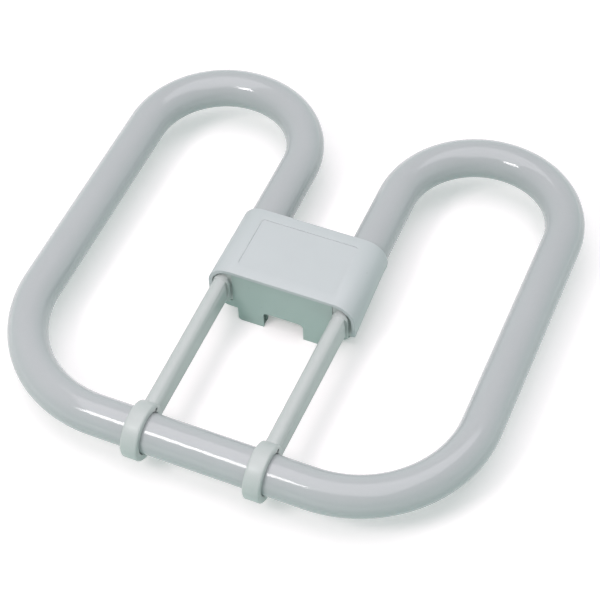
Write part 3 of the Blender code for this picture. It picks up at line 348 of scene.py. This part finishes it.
coated_glass, tree, shader = new_finish("coated_glass", IOR=1.5)
pinholes = use_group(tree, dusty, {"Spacing": 95.0, "Speck size": 0.032, "Share": 0.10})
powder = noise(tree, 900.0, 4.0, 0.7)
drift = noise(tree, 28.0, 2.0)
base = mix_colours(tree, drift, (0.500, 0.492, 0.510, 1.0), (0.532, 0.523, 0.541, 1.0))
base = mix_colours(tree, stretch(tree, powder, 0.35, 0.65, 0.0, 0.12), base, (0.43, 0.46, 0.46, 1.0))
paint(tree, shader, maths(tree, "MULTIPLY", pinholes["Mask"], 0.8), base, (0.06, 0.06, 0.05, 1.0))
vary_gloss(tree, shader, drift, 0.07, 0.12)
relief(tree, shader, noise(tree, 130.0, 1.0), 0.25, 0.0002)
print("finish", coated_glass.name)

# %% [markdown]
# ## The discharge tube
# The real tube is one straight piece of glass, softened in a flame and bent flat six times: two wide
# corners at the front and two full turns at the back, whose legs run into the base. That is a rule, so
# Geometry Nodes can follow it: a line through its corners, each rounded by its own radius, and a
# circle swept along it. The sealed ends narrow to a dome, which is a row of smaller circles.

# %% The line of the tube
TUBE_RADIUS = 0.0082
SIDE_X = 0.0943
LEG_X = 0.02245
RUN_Y = -0.0897
CROWN_Y = 0.0930
TUBE_Z = 0.0198
FRONT_BEND = 0.0497
BACK_BEND = 0.0357
END_Y = 0.0082
DOME_LENGTH = 0.0045
DOME_RATIO = 0.45
DOME_RINGS = 10

half_line = []
for step in range(DOME_RINGS):
    turn = math.radians(90) * step / DOME_RINGS
    width = DOME_RATIO + (1 - DOME_RATIO) * math.sin(turn)
    half_line.append((LEG_X, END_Y + DOME_LENGTH * (1 - math.cos(turn)), 0.0, width))
half_line.append((LEG_X, END_Y + DOME_LENGTH, 0.0, 1.0))
half_line.append((LEG_X, CROWN_Y, BACK_BEND, 1.0))
half_line.append((SIDE_X, CROWN_Y, BACK_BEND, 1.0))
half_line.append((SIDE_X, RUN_Y, FRONT_BEND, 1.0))
line = half_line + [(-x, y, bend, width) for x, y, bend, width in reversed(half_line)]
edges = [(k, k + 1) for k in range(len(line) - 1)]
line_mesh = bpy.data.meshes.new("tube_line")
line_mesh.from_pydata([(x, y, TUBE_Z) for x, y, bend, width in line], edges, [])
for name, column in (("bend_radius", 2), ("width", 3)):
    attribute = line_mesh.attributes.new(name, "FLOAT", "POINT")
    attribute.data.foreach_set("value", [point[column] for point in line])
print("points on the line:", len(line))

# %% [markdown]
# The tree that follows the line takes the tube's radius, the number of its sides and the steps of a
# bend as named inputs, so that the same rule can make a finer or a coarser tube. It runs once, and its
# result is kept as a plain mesh.

# %% Sweep the tube with Geometry Nodes
SIDES = 64
BEND_STEPS = 28
sweep = bpy.data.node_groups.new("bent_tube", "GeometryNodeTree")
sweep_inputs = [("Geometry", "Geometry", None), ("Tube radius", "Float", TUBE_RADIUS)]
sweep_inputs += [("Sides", "Int", SIDES), ("Bend steps", "Int", BEND_STEPS), ("Finish", "Material", None)]
add_sockets(sweep, "INPUT", sweep_inputs)
add_sockets(sweep, "OUTPUT", [("Geometry", "Geometry", None)])
ends_in = sweep.nodes.new("NodeGroupInput").outputs
ends_out = sweep.nodes.new("NodeGroupOutput").inputs
bend = add_node(sweep, "GeometryNodeInputNamedAttribute", {"Name": "bend_radius"}, data_type="FLOAT")
width = add_node(sweep, "GeometryNodeInputNamedAttribute", {"Name": "width"}, data_type="FLOAT")
rail = add_node(sweep, "GeometryNodeMeshToCurve", {"Mesh": ends_in["Geometry"]})
inputs = {"Curve": rail.outputs["Curve"], "Count": ends_in["Bend steps"], "Radius": bend.outputs["Attribute"]}
rounded = add_node(sweep, "GeometryNodeFilletCurve", inputs, mode="POLY")
inputs = {"Resolution": ends_in["Sides"], "Radius": ends_in["Tube radius"]}
circle = add_node(sweep, "GeometryNodeCurvePrimitiveCircle", inputs)
inputs = {"Curve": rounded.outputs["Curve"], "Profile Curve": circle.outputs["Curve"]}
inputs |= {"Scale": width.outputs["Attribute"], "Fill Caps": True}
skin = add_node(sweep, "GeometryNodeCurveToMesh", inputs)
smooth = add_node(sweep, "GeometryNodeSetShadeSmooth", {"Geometry": skin.outputs["Mesh"]})
real = add_node(sweep, "GeometryNodeRealizeInstances", {"Geometry": smooth.outputs["Geometry"]})
inputs = {"Geometry": real.outputs["Geometry"], "Material": ends_in["Finish"]}
dressed = add_node(sweep, "GeometryNodeSetMaterial", inputs)
sweep.links.new(dressed.outputs["Geometry"], ends_out["Geometry"])


def made_by_nodes(name, source_mesh, tree, inputs):
    """Runs a Geometry Nodes tree over a mesh and returns the result as a plain mesh object."""
    carrier = bpy.data.objects.new(name + "_line", source_mesh)
    scene.collection.objects.link(carrier)
    modifier = carrier.modifiers.new(name, "NODES")
    modifier.node_group = tree
    for socket in tree.interface.items_tree:
        if socket.item_type == "SOCKET" and socket.in_out == "INPUT" and socket.name in inputs:
            modifier[socket.identifier] = inputs[socket.name]
    bpy.context.view_layer.update()
    evaluated = carrier.evaluated_get(bpy.context.evaluated_depsgraph_get())
    mesh = bpy.data.meshes.new_from_object(evaluated)
    carrier.modifiers.remove(modifier)
    bpy.data.objects.remove(carrier)
    mesh.name = name
    piece = bpy.data.objects.new(name, mesh)
    scene.collection.objects.link(piece)
    return piece


inputs = {"Tube radius": TUBE_RADIUS, "Sides": SIDES, "Bend steps": BEND_STEPS, "Finish": coated_glass}
glass_tube = made_by_nodes("glass_tube", line_mesh, sweep, inputs)
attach(glass_tube, "root")
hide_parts("discharge_tube")
print("glass tube faces:", len(glass_tube.data.polygons))

# %% [markdown]
# ## The base and the arms
# The cover, the body of the base and the two arms are injection mouldings. Their shapes are right in
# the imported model, but its loose triangles shade as facets. Each is copied, its triangles are welded
# and merged into the flat faces they came from, and its sharp edges get a bevel, because no mould has
# a truly sharp corner. Weights on the edges choose what is bevelled, so that shapes added to a copy
# keep their own edges. The bevels come out far narrower than the widths asked for below: 0.024 mm on
# the cover, 0.011 mm on the body and 0.001 mm on the arms, too narrow to see. The modifier's overlap
# clamp holds a whole mesh to what its shortest edges allow, and with it off the shapes burst.

# %% Dress the mouldings
WELD_DISTANCE = 2e-6
FLAT_ANGLE = math.radians(0.6)
SHARP_ANGLE = math.radians(40)
BEVEL_STEPS = 2


def add_slab(shape, outline, near, far):
    """Adds a closed slab to a mesh in the making, from an outline of x and z and its two ends in y."""
    rings = [[shape.verts.new((x, y, z)) for x, z in outline] for y in (near, far)]
    faces = [shape.faces.new(rings[0]), shape.faces.new(rings[1])]
    for k in range(len(outline)):
        after = (k + 1) % len(outline)
        faces.append(shape.faces.new((rings[0][k], rings[0][after], rings[1][after], rings[1][k])))
    bmesh.ops.recalc_face_normals(shape, faces=faces)
    for edge in {edge for face in faces for edge in face.edges}:
        edge.smooth = False


def moulding(node, name, finish, bevel_width, slabs=()):
    """A welded copy of a CAD node with broken edges, which stands for it."""
    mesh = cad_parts[node].data.copy()
    mesh.name = name
    shape = bmesh.new()
    shape.from_mesh(mesh)
    for part in (*shape.faces, *shape.edges):
        part.smooth = True
    bmesh.ops.remove_doubles(shape, verts=shape.verts, dist=WELD_DISTANCE)
    bmesh.ops.dissolve_limit(shape, angle_limit=FLAT_ANGLE, verts=shape.verts, edges=shape.edges)
    weight = shape.edges.layers.float.new("bevel_weight_edge")
    for edge in shape.edges:
        if len(edge.link_faces) == 2 and edge.calc_face_angle() > SHARP_ANGLE:
            edge[weight] = 1.0
    for outline, near, far in slabs:
        add_slab(shape, outline, near, far)
    shape.to_mesh(mesh)
    shape.free()
    for spare in ("custom_normal", "sharp_face"):
        if spare in mesh.attributes:
            mesh.attributes.remove(mesh.attributes[spare])
    mesh.materials.clear()
    mesh.materials.append(finish)
    piece = bpy.data.objects.new(name, mesh)
    scene.collection.objects.link(piece)
    bevel = piece.modifiers.new("broken_edges", "BEVEL")
    bevel.width = bevel_width
    bevel.segments = BEVEL_STEPS
    bevel.limit_method = "WEIGHT"
    bevel.harden_normals = True
    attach(piece, "root")
    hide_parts(node)
    print(name, "faces:", len(mesh.polygons))


# %% [markdown]
# Two small forms are added to those copies. Where an arm enters the base, a collar fills the bay up to
# the cover, so that only two thin slits show beside it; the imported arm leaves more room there. And each
# guard foot has a closed sole, so that its latch slot looks dark inside. Both are plain slabs, drawn as
# an outline of x and z and pushed along y, because that is how their faces lie in the mould. A sole
# reaches 0.3 mm into the walls round its slot, with its underside in the same plane as theirs.

# %% Shapes that close small openings
COVER_HALF = 0.0320
COVER_TOP = 0.0302
SHOULDER = 0.0095
SHOULDER_STEPS = 9
COVER_INSIDE = 0.0017
BAY_SIDE = 0.0220
TONGUE_LOW = 0.0116
COLLAR_FRONT = -0.0127
COLLAR_DEPTH = 0.0015
FOOT_INSIDE = 0.0090
FOOT_OUTSIDE = 0.0195
SOLE = 0.0004
FOOT_ROWS = ((-0.0123, -0.0087), (0.0164, 0.0200))


def collar_outline(side):
    """The collar round an arm's root: it fills the bay up to the inside of the cover."""
    centre_x, centre_z = COVER_HALF - SHOULDER, COVER_TOP - SHOULDER
    radius = SHOULDER - COVER_INSIDE
    points = [(BAY_SIDE, TONGUE_LOW), (COVER_HALF - COVER_INSIDE, TONGUE_LOW)]
    for step in range(SHOULDER_STEPS + 1):
        turn = math.radians(90) * step / SHOULDER_STEPS
        points.append((centre_x + radius * math.cos(turn), centre_z + radius * math.sin(turn)))
    points.append((BAY_SIDE, COVER_TOP - COVER_INSIDE))
    return [(side * x, z) for x, z in points]


def sole_outline(side):
    """The thin sole that closes a foot from below."""
    low, high = sorted((side * FOOT_INSIDE, side * FOOT_OUTSIDE))
    return [(low, 0.0), (high, 0.0), (high, SOLE), (low, SOLE)]


soles = [(sole_outline(side), near, far) for near, far in FOOT_ROWS for side in (-1, 1)]
collar_back = COLLAR_FRONT + COLLAR_DEPTH
left_collar, right_collar = [(collar_outline(side), COLLAR_FRONT, collar_back) for side in (-1, 1)]
print("soles:", len(soles), "points round a collar:", len(left_collar[0]))

# %% Make the mouldings
COVER_BEVEL = 0.00025
BODY_BEVEL = 0.0002
ARM_BEVEL = 0.0003
moulding("base_cover", "moulded_cover", cover_plastic, COVER_BEVEL)
# the body takes the plastic whose colour holds painted shade
moulding("base_body", "moulded_body", body_plastic_painted_shade, BODY_BEVEL, soles)
moulding("support_arm_left", "moulded_arm_left", arm_plastic, ARM_BEVEL, [left_collar])
moulding("support_arm_right", "moulded_arm_right", arm_plastic, ARM_BEVEL, [right_collar])

# %% [markdown]
# ## The parts inside
# Pins, starter, capacitor, crimps, wires and cement keep their CAD shapes. Each has the finish of its
# own material. The metals come first: the pins are turned from brass, so fine rings run round them and
# the colour is tarnished in spots; the crimps and bare wires are dipped in tin, which flows unevenly.


# %% Metals
def waves(tree, vector, scale, distortion, detail, direction):
    """The output of a wave texture."""
    inputs = {"Vector": vector, "Scale": scale, "Distortion": distortion, "Detail": detail}
    return add_node(tree, "ShaderNodeTexWave", inputs, bands_direction=direction).outputs["Fac"]


brass, tree, shader = new_finish("turned_brass", Metallic=1.0)
tarnish = noise(tree, 420.0, 4.0)
paint(tree, shader, tarnish, (0.86, 0.66, 0.34, 1.0), (0.62, 0.43, 0.20, 1.0))
vary_gloss(tree, shader, tarnish, 0.16, 0.34)
relief(tree, shader, waves(tree, object_place(tree), 1400.0, 1.5, 1.0, "Z"), 0.2, 0.00002)
tinned, tree, shader = new_finish("tinned_metal", Metallic=1.0)
flow = noise(tree, 700.0, 3.0, distortion=0.8)
paint(tree, shader, flow, (0.72, 0.72, 0.70, 1.0), (0.50, 0.51, 0.52, 1.0))
vary_gloss(tree, shader, flow, 0.20, 0.42)
relief(tree, shader, flow, 0.3, 0.00004)
print("metals:", brass.name, tinned.name)

# %% [markdown]
# The starter is a small clear bulb with a faint haze. The capacitor is dipped in brown resin that sets
# a little unevenly. The sleeves are woven, which two crossed sets of waves show, and the cement is
# gritty and full of pores.

# %% Glass, resin, sleeve and cement
starter_glass, tree, shader = new_finish("starter_glass", IOR=1.5, Transmission_Weight=0.85)
haze = noise(tree, 260.0, 2.0)
paint(tree, shader, haze, (0.86, 0.89, 0.90, 1.0), (0.70, 0.73, 0.76, 1.0))
vary_gloss(tree, shader, haze, 0.03, 0.10)
resin, tree, shader = new_finish("capacitor_dip", IOR=1.55)
dip = noise(tree, 190.0, 2.0)
paint(tree, shader, dip, (0.42, 0.22, 0.07, 1.0), (0.58, 0.33, 0.11, 1.0))
vary_gloss(tree, shader, dip, 0.18, 0.34)
relief(tree, shader, dip, 0.5, 0.0002)
sleeve, tree, shader = new_finish("woven_sleeve", Roughness=0.8)
crosswise = {"Vector": object_place(tree), "Rotation": (0.0, 0.0, math.radians(90))}
crossed = add_node(tree, "ShaderNodeMapping", crosswise).outputs["Vector"]
one = waves(tree, object_place(tree), 900.0, 0.4, 2.0, "DIAGONAL")
two = waves(tree, crossed, 900.0, 0.4, 2.0, "DIAGONAL")
weave = maths(tree, "MAXIMUM", one, two)
paint(tree, shader, weave, (0.45, 0.43, 0.38, 1.0), (0.80, 0.78, 0.72, 1.0))
relief(tree, shader, weave, 0.6, 0.00008)
cement, tree, shader = new_finish("basing_cement", Roughness=0.9)
pores = add_node(tree, "ShaderNodeTexVoronoi", {"Vector": object_place(tree), "Scale": 1500.0})
paint(tree, shader, noise(tree, 800.0, 4.0), (0.52, 0.49, 0.43, 1.0), (0.72, 0.70, 0.64, 1.0))
relief(tree, shader, pores.outputs["Distance"], 0.7, 0.0002)
print("finishes:", starter_glass.name, resin.name, sleeve.name, cement.name)

# %% [markdown]
# The names of the CAD nodes say what each one is, so the start of a name picks the finish. The nodes
# that a finished piece stands for are hidden, and are passed over.

# %% Give each CAD node its finish
FINISH_OF = {
    "contact_pin": brass,
    "crimp": tinned,
    "starter_bulb": starter_glass,
    "starter_wire": tinned,
    "capacitor_wire": tinned,
    "capacitor": resin,
    "pin_wire": sleeve,
    "starting_wire": sleeve,
    "tube_cement": cement,
}
for name, node in sorted(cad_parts.items()):
    if node.hide_render:
        continue
    stem = max((s for s in FINISH_OF if name.startswith(s)), key=len)
    node.data.materials.clear()
    node.data.materials.append(FINISH_OF[stem])
    print(name, "is", FINISH_OF[stem].name)

# %% [markdown]
# ## The last check
# The dressed lamp has to keep the size of the imported one. Both boxes are compared, and the largest change
# is printed.

# %% Compare both boxes and finish
low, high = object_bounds()
changes = [abs(a - b) for a, b in zip([*low, *high], [*cad_low, *cad_high])]
print("largest change of the box in mm:", round(max(changes) * 1000, 3))
